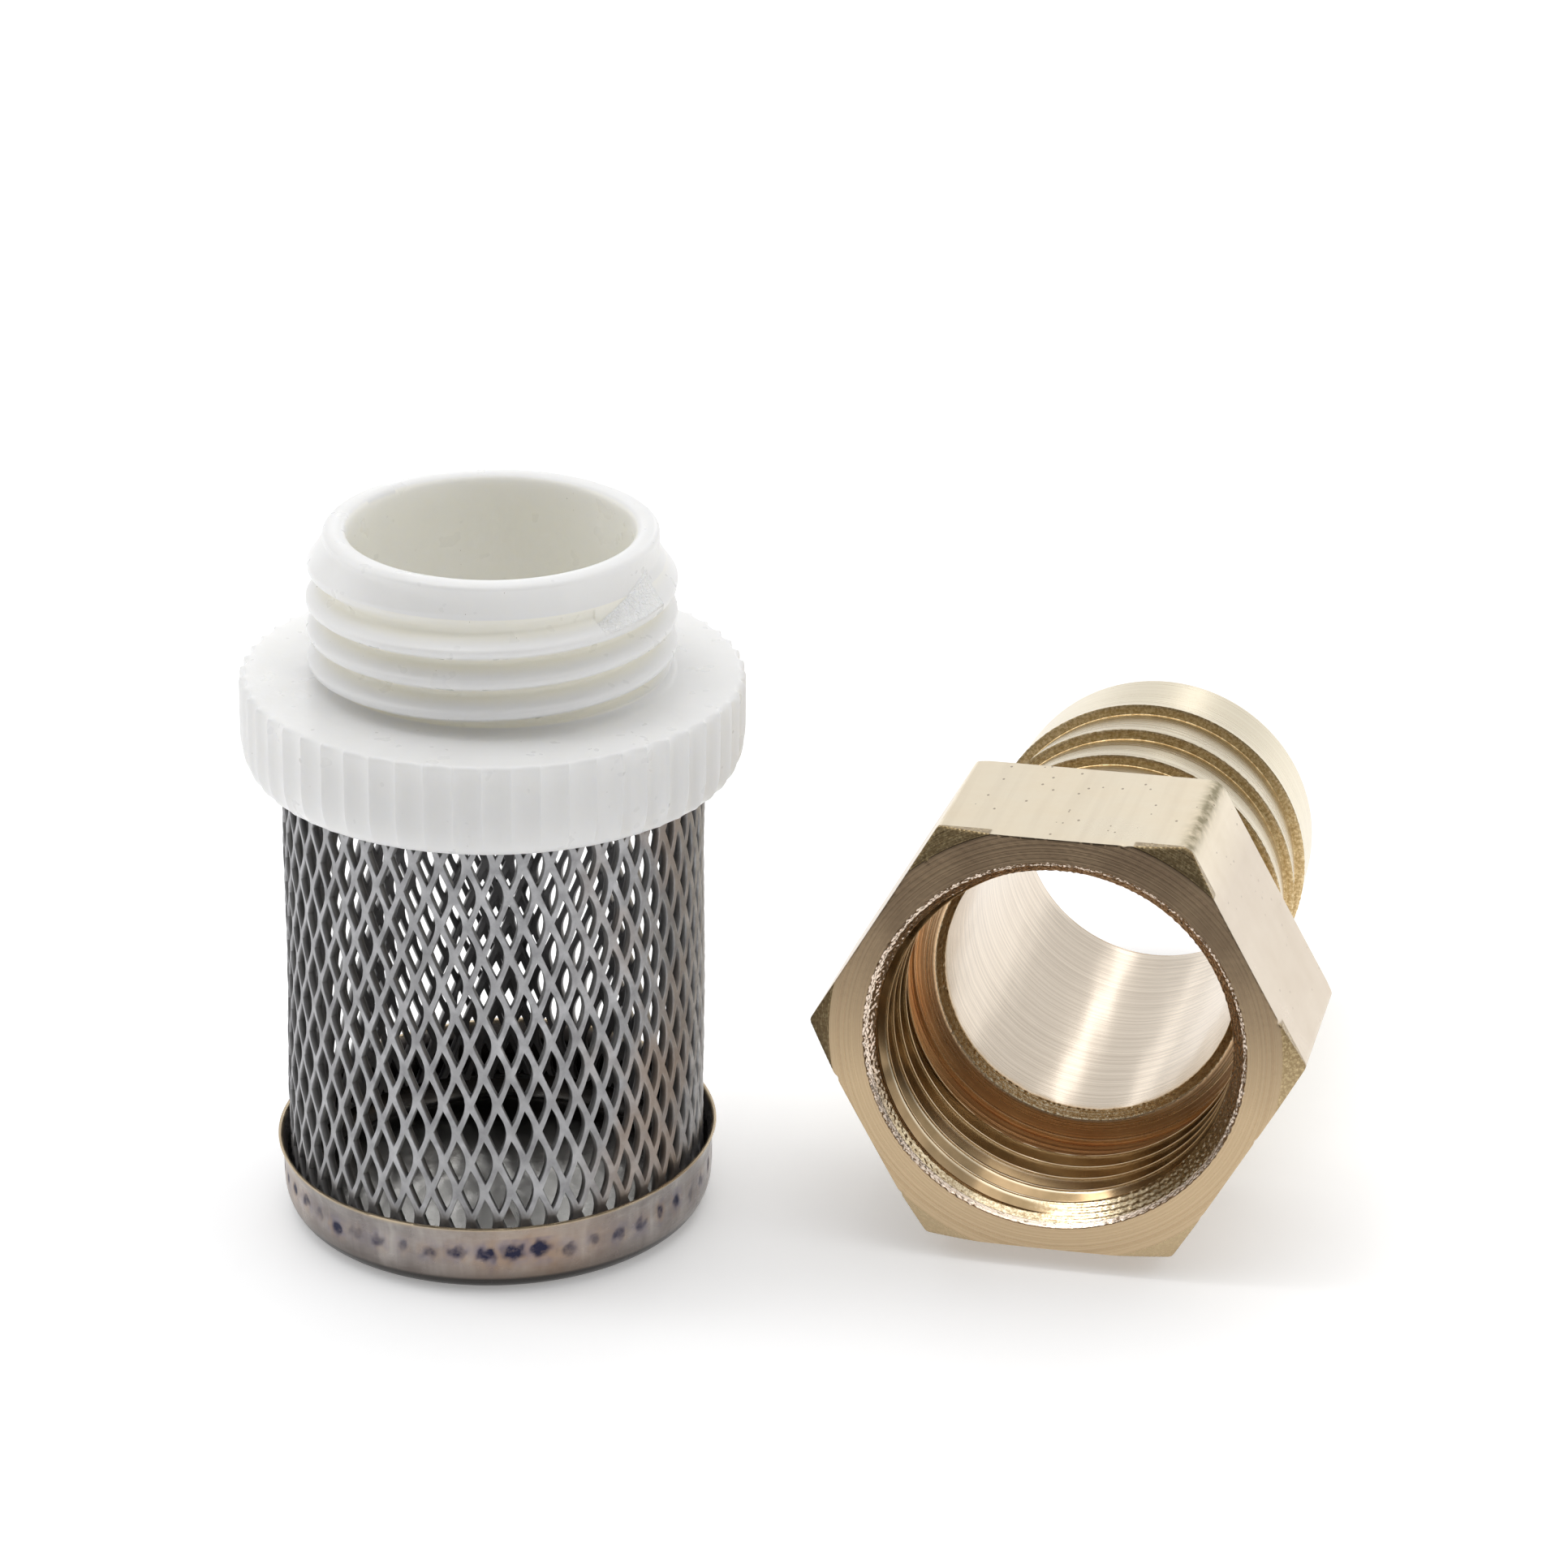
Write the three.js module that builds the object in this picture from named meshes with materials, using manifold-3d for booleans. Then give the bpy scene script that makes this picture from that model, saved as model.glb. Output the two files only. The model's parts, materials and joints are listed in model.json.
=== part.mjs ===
// A foot strainer for the end of a suction hose, with its hose tail unscrewed and lying beside it.
// Units are millimetres. +Z is up. The origin is the centre of the end cup's flat bottom, on the floor.
// The strainer stands on its cup. The hose tail lies along +Y with its mouth towards -Y, tipped so that
// it rests on the rear edge of its bottom hexagon flat and on the tip of its stem.
import * as THREE from 'three';
import { mergeVertices } from 'three/addons/utils/BufferGeometryUtils.js';
import Module from 'manifold-3d';

const wasm = await Module();
wasm.setup();

// ---------------------------------------------------------------- driving dimensions

// The parallel pipe thread that joins the two halves: 1/2 inch nominal, 14 threads per inch.
const THREAD_MAJOR = 20.955;
const THREAD_MINOR = 18.631;
const THREAD_PITCH = 1.814;
const THREAD_CREST_WIDTH = 0.34;
const THREAD_FLANK_ANGLE = THREE.MathUtils.degToRad(27.5);
const THREAD_ROOT_OVERLAP = 0.12;

// End cup: pressed from thin sheet, with a flared lip.
const CUP_SHEET = 0.3;
const CUP_HEIGHT = 4.7;
const CUP_WALL_RADIUS = 12.6;
const CUP_LIP_RADIUS = 12.85;
const CUP_LIP_RISE = 1.1;
const CUP_CORNER_HEIGHT = 2.0;
const CUP_CORNER_WIDTH = 1.35;

// Sleeve: expanded sheet rolled into a tube, with a lap where its ends meet.
const SLEEVE_RADIUS = 12.2;
const SLEEVE_SHEET = 0.8;
const SLEEVE_BOTTOM = 1.8;
const SLEEVE_COLUMNS = 24;
const SLEEVE_ROWS = 7;
const SLEEVE_ROW_PITCH = 3.63;
const SLEEVE_FIRST_ROW = 4.9;
const DIAMOND_WIDTH = 1.8;
const DIAMOND_HEIGHT = 5.0;
const SEAM_ANGLE = THREE.MathUtils.degToRad(107);
const SEAM_LAP_WIDTH = 5.0;
const SEAM_LAP_SHEET = 0.5;
const SEAM_LAP_BITE = 0.1;

// Collar: a moulded threaded nipple on a fluted flange, bored right through.
const COLLAR_BORE_RADIUS = 8.1;
const FLANGE_BOTTOM = 27.65;
const FLANGE_TOP = 33.2;
const FLANGE_RADIUS = 14.4;
const FLANGE_EDGE_HEIGHT = 2.1;
const FLANGE_EDGE_WIDTH = 1.0;
const FLUTE_COUNT = 56;
const FLUTE_DEPTH = 0.16;
const NIPPLE_TOP = 41.9;
const LEAD_RING_RADIUS = 9.45;
const LEAD_RING_HEIGHT = 2.5;
const LEAD_CHAMFER = 0.3;
const NIPPLE_FOOT_RADIUS = 10.6;
const NIPPLE_FOOT_HEIGHT = 0.4;
const COLLAR_THREAD_TOP = 40.15;
const COLLAR_THREAD_START = THREE.MathUtils.degToRad(-22.5);
const SOCKET_DEPTH = 2.6;
const SOCKET_CLEARANCE = 0.3;

// Hose tail: turned from hexagon bar, female thread at one end and a barbed stem at the other.
const TAIL_X = 33.2;
const TAIL_MOUTH_Y = -1.4;
const HEX_SIDES = 6;
const HEX_ACROSS_FLATS = 24.8;
const HEX_LENGTH = 13.3;
const HEX_FACE_RADIUS = 13.03;
const HEX_FACE_CHAMFER = THREE.MathUtils.degToRad(28);
const HEX_BACK_RADIUS = 13.8;
const TAIL_LENGTH = 40.6;
const MOUTH_RADIUS = 11.05;
const MOUTH_CHAMFER_DEPTH = 1.4;
const TAIL_THREAD_LENGTH = 8.9;
const RELIEF_SLOPE = 1.0;
const RELIEF_RADIUS = 10.6;
const SHOULDER_DEPTH = 12.4;
const TAIL_BORE_RADIUS = 8.7;
const BORE_EDGE_CHAMFER = 0.3;
const STEM_ROOT_RADIUS = 9.4;
const BARB_RADIUS = 10.0;
const BARB_COUNT = 4;
const BARB_PITCH = 5.23;
const LAST_BARB = 34.0;
const TIP_RADIUS = 9.75;
const TIP_ROUNDING = 0.5;

// Facets round each turned shape, twice the sleeve's columns so that every diamond's tip meets an edge.
const ROUND_SEGMENTS = 2 * SLEEVE_COLUMNS;
const ARC_STEPS = 4;

// How far a solid runs past the face that it cuts or joins.
const RUN_PAST = 1;

// ---------------------------------------------------------------- looks

const looks = {
  whiteNylon: new THREE.MeshStandardMaterial({ color: 0xdedcd3, roughness: 0.45, metalness: 0 }),
  expandedSteel: new THREE.MeshStandardMaterial({ color: 0x8f8f94, roughness: 0.55, metalness: 0.9 }),
  pressedSteel: new THREE.MeshStandardMaterial({ color: 0xa59d98, roughness: 0.3, metalness: 1 }),
  brass: new THREE.MeshStandardMaterial({ color: 0xc9b183, roughness: 0.3, metalness: 1 }),
};

// ---------------------------------------------------------------- helpers

// A closed three.js geometry as a solid that can be joined and cut.
function solidOf(geometry) {
  const bare = geometry.clone();
  bare.deleteAttribute('normal');
  bare.deleteAttribute('uv');
  const merged = mergeVertices(bare, 1e-4);
  return new wasm.Manifold(new wasm.Mesh({
    numProp: 3,
    vertProperties: merged.attributes.position.array,
    triVerts: new Uint32Array(merged.index.array),
  }));
}

// A finished solid as a named mesh of the scene.
function pieceOf(name, solid, look) {
  const cut = solid.getMesh();
  const geometry = new THREE.BufferGeometry();
  const positions = new Float32Array(cut.numVert * 3);
  for (let i = 0; i < cut.numVert; i += 1) {
    positions.set(cut.vertProperties.subarray(i * cut.numProp, i * cut.numProp + 3), i * 3);
  }
  geometry.setAttribute('position', new THREE.BufferAttribute(positions, 3));
  geometry.setIndex(new THREE.BufferAttribute(cut.triVerts, 1));
  geometry.computeVertexNormals();
  const mesh = new THREE.Mesh(geometry, look);
  mesh.name = name;
  return mesh;
}

// A closed outline of [radius, z] points turned about Z. The outline runs anticlockwise, so the material
// is on its left.
function turned(outline, segments = ROUND_SEGMENTS) {
  const closed = [...outline, outline[0]];
  const points = closed.map(([radius, z]) => new THREE.Vector2(radius, z));
  const geometry = new THREE.LatheGeometry(points, segments);
  geometry.rotateX(Math.PI / 2);
  return solidOf(geometry);
}

// A quarter of an ellipse from one angle to another, as [radius, z] points.
function arc(centreRadius, centreZ, width, height, fromDegrees, toDegrees) {
  const points = [];
  for (let i = 0; i <= ARC_STEPS; i += 1) {
    const angle = THREE.MathUtils.degToRad(THREE.MathUtils.lerp(fromDegrees, toDegrees, i / ARC_STEPS));
    points.push([centreRadius + width * Math.cos(angle), centreZ + height * Math.sin(angle)]);
  }
  return points;
}

// A right-handed helix that winds down from its top, with frames that stay square to the axis.
class HelixPath extends THREE.Curve {
  constructor(radius, turns, startAngle, topZ) {
    super();
    this.radius = radius;
    this.turns = turns;
    this.startAngle = startAngle;
    this.topZ = topZ;
  }

  angleAt(t) {
    return this.startAngle - 2 * Math.PI * this.turns * t;
  }

  getPoint(t, target = new THREE.Vector3()) {
    const angle = this.angleAt(t);
    const z = this.topZ - THREAD_PITCH * this.turns * t;
    return target.set(this.radius * Math.cos(angle), this.radius * Math.sin(angle), z);
  }

  computeFrenetFrames(segments) {
    const tangents = [];
    const normals = [];
    const binormals = [];
    for (let i = 0; i <= segments; i += 1) {
      const angle = this.angleAt(i / segments);
      tangents.push(new THREE.Vector3(Math.sin(angle), -Math.cos(angle), 0));
      normals.push(new THREE.Vector3(Math.cos(angle), Math.sin(angle), 0));
      binormals.push(new THREE.Vector3(0, 0, 1));
    }
    return { tangents, normals, binormals };
  }
}

// The ridge between a thread's root and its crest, wound round Z. Added to a nipple it is a male thread,
// and cut from a bore it leaves a female one.
function threadRidge(turns, startAngle, topZ) {
  const depth = (THREAD_MAJOR - THREAD_MINOR) / 2;
  const crest = THREAD_CREST_WIDTH / 2;
  const root = crest + (depth + THREAD_ROOT_OVERLAP) * Math.tan(THREAD_FLANK_ANGLE);
  const section = new THREE.Shape([
    new THREE.Vector2(-THREAD_ROOT_OVERLAP, -root),
    new THREE.Vector2(depth, -crest),
    new THREE.Vector2(depth, crest),
    new THREE.Vector2(-THREAD_ROOT_OVERLAP, root),
  ]);
  const geometry = new THREE.ExtrudeGeometry(section, {
    steps: Math.round(turns * ROUND_SEGMENTS),
    extrudePath: new HelixPath(THREAD_MINOR / 2, turns, startAngle, topZ),
  });
  return solidOf(geometry);
}

// ---------------------------------------------------------------- strainer

const SLEEVE_TOP = FLANGE_BOTTOM + SOCKET_DEPTH - SOCKET_CLEARANCE;

function endCup() {
  const inner = CUP_WALL_RADIUS - CUP_SHEET;
  const cornerCentre = CUP_WALL_RADIUS - CUP_CORNER_WIDTH;
  const lipBottom = CUP_HEIGHT - CUP_LIP_RISE;
  return turned([
    [0, 0],
    ...arc(cornerCentre, CUP_CORNER_HEIGHT, CUP_CORNER_WIDTH, CUP_CORNER_HEIGHT, -90, 0),
    [CUP_WALL_RADIUS, lipBottom],
    [CUP_LIP_RADIUS, CUP_HEIGHT],
    [CUP_LIP_RADIUS - CUP_SHEET, CUP_HEIGHT],
    [inner, lipBottom],
    ...arc(
      cornerCentre,
      CUP_CORNER_HEIGHT,
      CUP_CORNER_WIDTH - CUP_SHEET,
      CUP_CORNER_HEIGHT - CUP_SHEET,
      0,
      -90,
    ),
    [0, CUP_SHEET],
  ]);
}

// A tube between two radii and two heights.
function tube(innerRadius, outerRadius, bottom, top) {
  return turned([
    [innerRadius, bottom],
    [outerRadius, bottom],
    [outerRadius, top],
    [innerRadius, top],
  ]);
}

// A prism with a diamond section that crosses the sleeve's wall at the given angle and height.
function diamondCutter(angle, z) {
  const diamond = new THREE.Shape([
    new THREE.Vector2(-DIAMOND_WIDTH / 2, 0),
    new THREE.Vector2(0, -DIAMOND_HEIGHT / 2),
    new THREE.Vector2(DIAMOND_WIDTH / 2, 0),
    new THREE.Vector2(0, DIAMOND_HEIGHT / 2),
  ]);
  const reach = SLEEVE_SHEET + 2 * RUN_PAST;
  const geometry = new THREE.ExtrudeGeometry(diamond, { depth: reach, bevelEnabled: false });
  geometry.translate(0, 0, SLEEVE_RADIUS - SLEEVE_SHEET / 2 - reach / 2);
  geometry.rotateX(Math.PI / 2);
  geometry.rotateZ(angle + Math.PI / 2);
  geometry.translate(0, 0, z);
  return solidOf(geometry);
}

// The second layer of sheet where the sleeve's ends lap, on the inside.
function seamLap(innerRadius) {
  const lapRadius = innerRadius - SEAM_LAP_SHEET;
  const ring = tube(lapRadius, innerRadius + SEAM_LAP_BITE, SLEEVE_BOTTOM, SLEEVE_TOP);
  const sector = new THREE.BoxGeometry(innerRadius, SEAM_LAP_WIDTH, 2 * SLEEVE_TOP);
  sector.translate(innerRadius, 0, 0);
  sector.rotateZ(SEAM_ANGLE);
  return ring.intersect(solidOf(sector));
}

function meshSleeve() {
  const innerRadius = SLEEVE_RADIUS - SLEEVE_SHEET;
  const columnAngle = (2 * Math.PI) / SLEEVE_COLUMNS;
  let sleeve = tube(innerRadius, SLEEVE_RADIUS, SLEEVE_BOTTOM, SLEEVE_TOP);
  for (let row = 0; row < SLEEVE_ROWS; row += 1) {
    const rowShift = (row % 2) / 2;
    for (let column = 0; column < SLEEVE_COLUMNS; column += 1) {
      const angle = (column + rowShift) * columnAngle;
      sleeve = sleeve.subtract(diamondCutter(angle, SLEEVE_FIRST_ROW + row * SLEEVE_ROW_PITCH));
    }
  }
  return sleeve.add(seamLap(innerRadius));
}

function flutedPrism() {
  const outline = new THREE.Shape();
  for (let i = 0; i < FLUTE_COUNT * 2; i += 1) {
    const radius = FLANGE_RADIUS - (i % 2) * FLUTE_DEPTH;
    const angle = (i / (FLUTE_COUNT * 2)) * 2 * Math.PI;
    const point = new THREE.Vector2(radius * Math.cos(angle), radius * Math.sin(angle));
    if (i === 0) outline.moveTo(point.x, point.y);
    else outline.lineTo(point.x, point.y);
  }
  const height = FLANGE_TOP - FLANGE_BOTTOM;
  const geometry = new THREE.ExtrudeGeometry(outline, { depth: height, bevelEnabled: false });
  geometry.translate(0, 0, FLANGE_BOTTOM);
  return solidOf(geometry);
}

function strainerCollar() {
  const edgeCentre = FLANGE_RADIUS - FLANGE_EDGE_WIDTH;
  const edgeTop = FLANGE_BOTTOM + FLANGE_EDGE_HEIGHT;
  const roundedDisc = turned([
    [0, FLANGE_BOTTOM],
    ...arc(edgeCentre, edgeTop, FLANGE_EDGE_WIDTH, FLANGE_EDGE_HEIGHT, -90, 0),
    [FLANGE_RADIUS, FLANGE_TOP],
    [0, FLANGE_TOP],
  ], FLUTE_COUNT * 2);
  const nippleBase = FLANGE_TOP - RUN_PAST;
  const ringBottom = NIPPLE_TOP - LEAD_RING_HEIGHT;
  const nipple = turned([
    [0, nippleBase],
    [NIPPLE_FOOT_RADIUS, nippleBase],
    [NIPPLE_FOOT_RADIUS, FLANGE_TOP],
    [THREAD_MINOR / 2, FLANGE_TOP + NIPPLE_FOOT_HEIGHT],
    [THREAD_MINOR / 2, ringBottom],
    [LEAD_RING_RADIUS, ringBottom],
    [LEAD_RING_RADIUS, NIPPLE_TOP - LEAD_CHAMFER],
    [LEAD_RING_RADIUS - LEAD_CHAMFER, NIPPLE_TOP],
    [0, NIPPLE_TOP],
  ]);
  const turns = (COLLAR_THREAD_TOP - FLANGE_TOP) / THREAD_PITCH;
  const bore = turned([
    [0, FLANGE_BOTTOM - RUN_PAST],
    [COLLAR_BORE_RADIUS, FLANGE_BOTTOM - RUN_PAST],
    [COLLAR_BORE_RADIUS, NIPPLE_TOP + RUN_PAST],
    [0, NIPPLE_TOP + RUN_PAST],
  ]);
  const socketInner = SLEEVE_RADIUS - SLEEVE_SHEET - SEAM_LAP_SHEET - SOCKET_CLEARANCE;
  const socketOuter = SLEEVE_RADIUS + SOCKET_CLEARANCE;
  const socket = tube(
    socketInner,
    socketOuter,
    FLANGE_BOTTOM - RUN_PAST,
    FLANGE_BOTTOM + SOCKET_DEPTH,
  );
  return roundedDisc
    .intersect(flutedPrism())
    .add(nipple)
    .add(threadRidge(turns, COLLAR_THREAD_START, COLLAR_THREAD_TOP))
    .subtract(bore)
    .subtract(socket);
}

// ---------------------------------------------------------------- hose tail

// The tail is drawn upright: its mouth at z = 0 and its stem's tip at z = TAIL_LENGTH.
const HEX_FLAT_RADIUS = HEX_ACROSS_FLATS / 2;
const HEX_CORNER_RADIUS = HEX_FLAT_RADIUS / Math.cos(Math.PI / HEX_SIDES);
const TIP_START = TAIL_LENGTH - TIP_ROUNDING;
const THREAD_RUNOUT = (TAIL_THREAD_LENGTH + SHOULDER_DEPTH) / 2;

function hexagonHead() {
  const outline = new THREE.Shape();
  for (let i = 0; i < HEX_SIDES; i += 1) {
    const angle = (i / HEX_SIDES) * 2 * Math.PI;
    const x = HEX_CORNER_RADIUS * Math.cos(angle);
    const y = HEX_CORNER_RADIUS * Math.sin(angle);
    if (i === 0) outline.moveTo(x, y);
    else outline.lineTo(x, y);
  }
  const prism = new THREE.ExtrudeGeometry(outline, { depth: HEX_LENGTH, bevelEnabled: false });
  const reach = HEX_CORNER_RADIUS + RUN_PAST;
  const chamfer = Math.tan(HEX_FACE_CHAMFER);
  const chamferedBar = turned([
    [0, 0],
    [HEX_FACE_RADIUS, 0],
    [reach, (reach - HEX_FACE_RADIUS) * chamfer],
    [reach, HEX_LENGTH - (reach - HEX_BACK_RADIUS) * chamfer],
    [HEX_BACK_RADIUS, HEX_LENGTH],
    [0, HEX_LENGTH],
  ]);
  return solidOf(prism).intersect(chamferedBar);
}

function barbedStem() {
  const base = HEX_LENGTH - RUN_PAST;
  const outline = [[0, base], [STEM_ROOT_RADIUS, base]];
  for (let i = BARB_COUNT - 1; i >= 0; i -= 1) {
    const step = LAST_BARB - i * BARB_PITCH;
    outline.push([STEM_ROOT_RADIUS, step]);
    outline.push([BARB_RADIUS, step]);
  }
  outline.push([TIP_RADIUS, TIP_START]);
  outline.push([TIP_RADIUS - TIP_ROUNDING, TAIL_LENGTH]);
  outline.push([0, TAIL_LENGTH]);
  return turned(outline);
}

function tailHollow() {
  const minor = THREAD_MINOR / 2;
  return turned([
    [0, -RUN_PAST],
    [MOUTH_RADIUS, -RUN_PAST],
    [MOUTH_RADIUS, 0],
    [minor, MOUTH_CHAMFER_DEPTH],
    [minor, TAIL_THREAD_LENGTH],
    [RELIEF_RADIUS, TAIL_THREAD_LENGTH + RELIEF_SLOPE],
    [RELIEF_RADIUS, SHOULDER_DEPTH],
    [TAIL_BORE_RADIUS + BORE_EDGE_CHAMFER, SHOULDER_DEPTH],
    [TAIL_BORE_RADIUS, SHOULDER_DEPTH + BORE_EDGE_CHAMFER],
    [TAIL_BORE_RADIUS, TAIL_LENGTH + RUN_PAST],
    [0, TAIL_LENGTH + RUN_PAST],
  ]);
}

// The female thread starts outside the mouth and runs out half way along the relief.
function hoseTail() {
  const turns = (THREAD_RUNOUT + RUN_PAST) / THREAD_PITCH;
  const thread = threadRidge(turns, 0, THREAD_RUNOUT);
  return hexagonHead().add(barbedStem()).subtract(tailHollow()).subtract(thread);
}

// ---------------------------------------------------------------- assembly

const strainer = new THREE.Group();
strainer.add(pieceOf('strainer_cup', endCup(), looks.pressedSteel));
strainer.add(pieceOf('strainer_mesh', meshSleeve(), looks.expandedSteel));
strainer.add(pieceOf('strainer_collar', strainerCollar(), looks.whiteNylon));

// Lying on the hexagon's rear edge and the stem's tip, the tail's axis drops towards its stem.
const tip = Math.atan2(HEX_FLAT_RADIUS - TIP_RADIUS, TIP_START - HEX_LENGTH);
const mouthHeight = HEX_LENGTH * Math.sin(tip) + HEX_FLAT_RADIUS * Math.cos(tip);
const lyingTail = new THREE.Group();
lyingTail.add(pieceOf('hose_tail', hoseTail(), looks.brass));
lyingTail.rotation.x = -(Math.PI / 2 + tip);
lyingTail.position.set(TAIL_X, TAIL_MOUTH_Y, mouthHeight);

const footStrainer = new THREE.Group();
footStrainer.add(strainer);
footStrainer.add(lyingTail);

export default footStrainer;
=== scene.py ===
"""Looks for the foot strainer and its hose tail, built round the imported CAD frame.

Shapes are worked out in mm and put in the scene in metres. The strainer stands at the origin with +Z up.
The hose tail is built along its own +Z, from its mouth at 0, and then laid down where the CAD has it.
"""
import json

import bpy
import numpy as np
from mathutils import Matrix, Vector


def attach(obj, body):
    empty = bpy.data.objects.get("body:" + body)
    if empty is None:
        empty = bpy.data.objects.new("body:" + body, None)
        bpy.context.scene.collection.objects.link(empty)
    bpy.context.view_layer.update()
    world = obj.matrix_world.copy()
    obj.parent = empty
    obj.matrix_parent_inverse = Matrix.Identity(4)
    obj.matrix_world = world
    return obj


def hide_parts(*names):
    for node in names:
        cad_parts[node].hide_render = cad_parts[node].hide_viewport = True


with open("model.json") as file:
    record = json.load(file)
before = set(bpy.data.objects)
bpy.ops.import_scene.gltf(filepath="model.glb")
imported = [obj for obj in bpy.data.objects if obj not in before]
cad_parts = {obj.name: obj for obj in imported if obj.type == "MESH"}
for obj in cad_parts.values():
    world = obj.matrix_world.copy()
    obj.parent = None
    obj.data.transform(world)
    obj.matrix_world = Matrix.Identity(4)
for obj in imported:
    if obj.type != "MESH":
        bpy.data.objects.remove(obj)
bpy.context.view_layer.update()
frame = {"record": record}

MM = 0.001
TAU = 2 * np.pi
mounts = {m["name"]: m for m in frame["record"]["mounts"]}

# ------------------------------------------------------------------ sizes, in mm

THREAD_MAJOR = 20.955 / 2  # the pipe thread G 1/2, in both parts
THREAD_MINOR = 18.631 / 2
THREAD_PITCH = 1.814
THREAD_DEPTH = THREAD_MAJOR - THREAD_MINOR

CUP_SHEET = 0.3
CUP_HEIGHT = 4.7
CUP_WALL = 12.55  # outer radius of the wall
CUP_LIP = 12.85  # outer radius of the flared lip
CUP_FLAT = 11.15  # radius where the cup's floor turns up into its wall
CUP_TILT = (0.0073, 0.0274)  # rise of the lip per mm along X and Y
WELD_HEIGHT = 2.75
WELD_PHASE = np.radians(-78.3)

SLEEVE_RADIUS = 12.2  # middle of the sheet
SLEEVE_SHEET = 0.5
SLEEVE_COLUMNS = 49
SLEEVE_STEP = TAU / SLEEVE_COLUMNS
SLEEVE_PHASE = np.radians(-74.5)
SLEEVE_BOTTOM = 1.9
SLEEVE_TOP = 29.5
SEAM_ANGLE = np.radians(107.0)  # at the back
SEAM_DEPTH = 0.62  # how far inside the front layer the lapped strip lies
ROW_PITCH = 1.815  # half the height of a diamond
FIRST_KNUCKLE = 4.7
HOLE_LEFT = 0.53  # the hole's reach from the middle of its diamond
HOLE_RIGHT = 0.48
HOLE_HEIGHT = 1.32
STRAND_TILT = 0.13  # how steeply each knuckle leans out of the sheet

COLLAR_BORE = 8.1
COLLAR_SHIFT = (0.176, 0.633)  # how far the collar sits off the cup's axis
COLLAR_LEAN = (0.0132, 0.0094)  # how far it leans per mm of height
FLANGE_BOTTOM = 27.65
FLANGE_TOP = 33.2
FLANGE_RADIUS = 14.38
FLANGE_ROUND = 2.3  # height of the rounding under the flange
FLUTES = 56
FLUTE_DEPTH = 0.23
NIPPLE_FOOT = 33.62
NIPPLE_TOP = 41.88
RING_RADIUS = 9.457  # plain ring above the thread
FIRST_CREST = 38.43  # height of the thread's crest where it starts
THREAD_START = np.radians(-38.0)
FACET_SPAN = np.radians(29)  # how far the cut at the thread's start reaches round

HEX_FLAT = 12.4  # half the width across flats
HEX_LENGTH = 13.3
HEX_FACE = 13.03  # radius of the turned face, beyond which the corners are chamfered
FACE_SLOPE = 0.08
CHAMFER_SLOPE = np.tan(np.radians(28))
BACK_CHAMFER = 13.85
TAIL_LENGTH = 40.6
MOUTH_RADIUS = 11.05
BURR_RADIUS = 10.82  # where the burr ends and the lead cone starts
BURR_DEPTH = 0.30
LEAD_SLOPE = 0.78
TAIL_CREST = 9.95  # the tail's crests are cut off short of THREAD_MINOR
TAIL_THREAD_PHASE = np.radians(158)
THREAD_END = 10.1
RELIEF_RADIUS = 10.6
SHOULDER = 12.4
TAIL_BORE = 8.7
STEM_ROOT = 9.4
BARB_RADIUS = 10.0
BARB_PITCH = 5.23
LAST_BARB = 34.0
BARBS = 4
TIP_RADIUS = 9.75
MOUNT_ASIDE = 12.0  # from the tail's axis to the mount point on its face, along X
NICK_PLACES = np.radians([-126, -12, 47, 131, 166, -74, 21])

# ------------------------------------------------------------------ numeric helpers


def smoothstep(low, high, x):
    t = np.clip((x - low) / (high - low), 0.0, 1.0)
    return t * t * (3 - 2 * t)


def soft_min(a, b, k):
    """The smaller of a and b, with the crease between them rounded over a width k."""
    h = np.clip(0.5 + 0.5 * (b - a) / k, 0.0, 1.0)
    return b * (1 - h) + a * h - k * h * (1 - h)


def soft_max(a, b, k):
    return -soft_min(-a, -b, k)


def wrap(angle, period=TAU):
    """angle brought into -period/2 .. period/2."""
    return (angle + period / 2) % period - period / 2


class Noise:
    """Smooth seeded noise that repeats along its first axis: a short sum of waves."""

    def __init__(self, seed, count, low, high, along=1.0):
        rng = np.random.default_rng(seed)
        self.turns = rng.integers(low, high, count)
        self.rise = rng.uniform(-along, along, count)
        self.start = rng.uniform(0, TAU, count)
        self.scale = 1 / np.sqrt(count)

    def __call__(self, angle, z):
        total = 0.0
        for n, rise, start in zip(self.turns, self.rise, self.start):
            total = total + np.sin(n * angle + rise * z + start)
        return total * self.scale


# ------------------------------------------------------------------ mesh helpers


def mesh_piece(name, points, faces, smooth_angle=35.0, attributes=None):
    """A mesh object from points in mm and quads, with creases sharper than smooth_angle kept."""
    mesh = bpy.data.meshes.new(name)
    points = np.asarray(points, float)
    faces = np.asarray(faces, np.int32)
    mesh.vertices.add(len(points))
    mesh.vertices.foreach_set("co", (points * MM).ravel().astype(np.float32))
    mesh.loops.add(faces.size)
    mesh.loops.foreach_set("vertex_index", faces.ravel())
    mesh.polygons.add(len(faces))
    mesh.polygons.foreach_set("loop_start", np.arange(len(faces), dtype=np.int32) * faces.shape[1])
    mesh.update(calc_edges=True)
    mesh.validate()
    for key, values in (attributes or {}).items():
        layer = mesh.attributes.new(key, "FLOAT", "POINT")
        layer.data.foreach_set("value", np.asarray(values, np.float32).ravel())
    mesh.shade_smooth()
    mesh.set_sharp_from_angle(angle=np.radians(smooth_angle))
    piece = bpy.data.objects.new(name, mesh)
    bpy.context.scene.collection.objects.link(piece)
    return piece


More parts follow.
